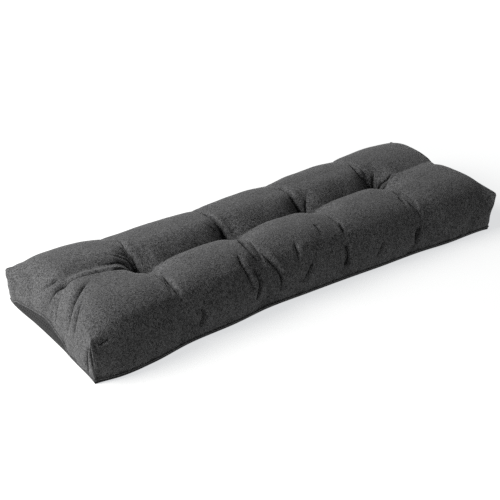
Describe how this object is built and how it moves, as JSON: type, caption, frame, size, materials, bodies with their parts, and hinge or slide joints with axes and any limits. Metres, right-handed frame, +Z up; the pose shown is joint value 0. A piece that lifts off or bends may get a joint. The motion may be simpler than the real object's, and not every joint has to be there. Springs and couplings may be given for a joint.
{
  "type": "bench cushion",
  "caption": "Long boxed bench cushion with a row of deep tufts, plump lobes either side of a valley, and a flat non-slip base panel turned up at its ends.",
  "frame": {"origin": "middle of the flat underside, which lies on the floor or bench at z = 0", "axes": "+X along the cushion's length, -Y its front long side in the picture, +Z up out of the tufted top"},
  "size_m": [1.2276, 0.4446, 0.147],
  "materials": {
    "cushion": "matt charcoal heather weave",
    "base_panel": "matt dark cloth with small grip dots"
  },
  "bodies": {
    "root": {"cushion": "cushion", "base_panel": "base_panel"}
  },
  "joints": []
}
